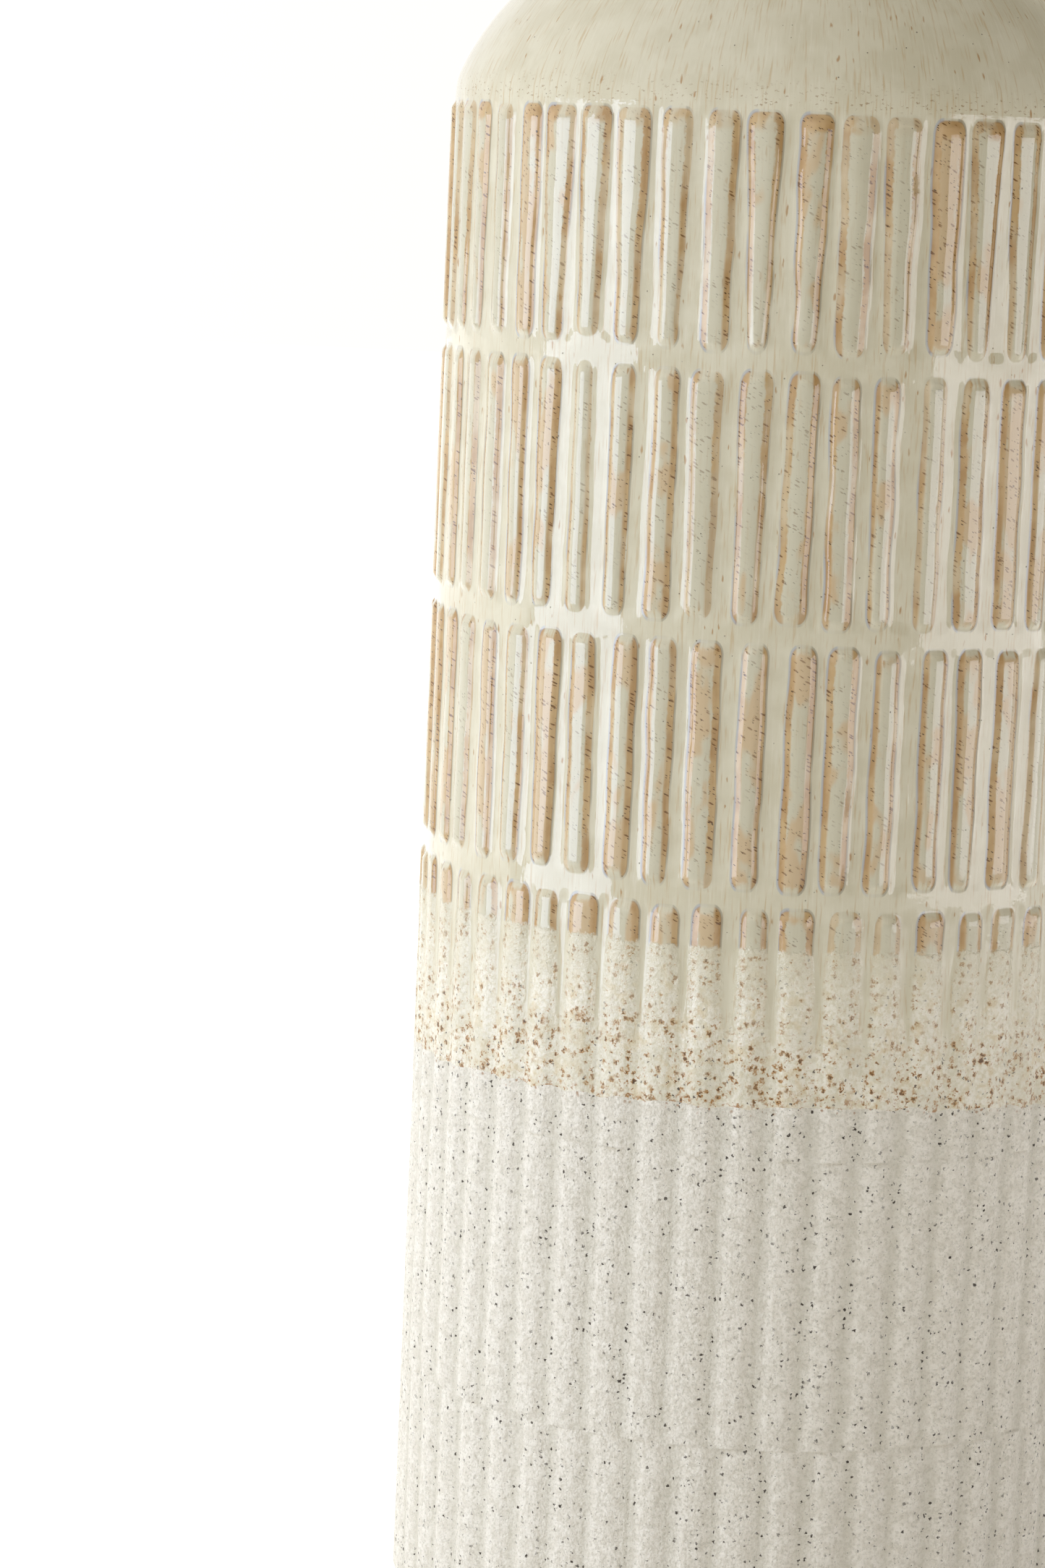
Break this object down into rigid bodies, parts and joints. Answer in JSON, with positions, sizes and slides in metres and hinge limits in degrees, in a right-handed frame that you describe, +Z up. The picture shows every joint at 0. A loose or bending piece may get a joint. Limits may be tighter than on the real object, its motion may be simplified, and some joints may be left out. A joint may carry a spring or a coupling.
{
  "type": "stoneware bottle vase",
  "caption": "Tall cylindrical stoneware vase with tiers of upright ribs, a domed shoulder and a narrow flared neck; glossy glaze above, sandy matte coat below.",
  "frame": {"origin": "centre of the underside of the foot ring, on the vessel's axis", "axes": "+Z up along the vessel's axis, out of the mouth; +X and +Y level; each tier steps round by an angle of its own, and +X meets a rib crown within half a degree on the fourth and fifth tiers"},
  "size_m": [0.152, 0.152, 0.43],
  "materials": {
    "fired_clay": "matte",
    "gloss_glaze": "gloss",
    "overlap_glaze": "satin",
    "matte_glaze": "matte",
    "liner": "gloss"
  },
  "bodies": {
    "root": {"stoneware_body": "fired_clay", "gloss_glaze_coat": "gloss_glaze", "overlap_glaze_band": "overlap_glaze", "matte_glaze_coat": "matte_glaze", "liner_glaze": "liner"}
  },
  "joints": []
}
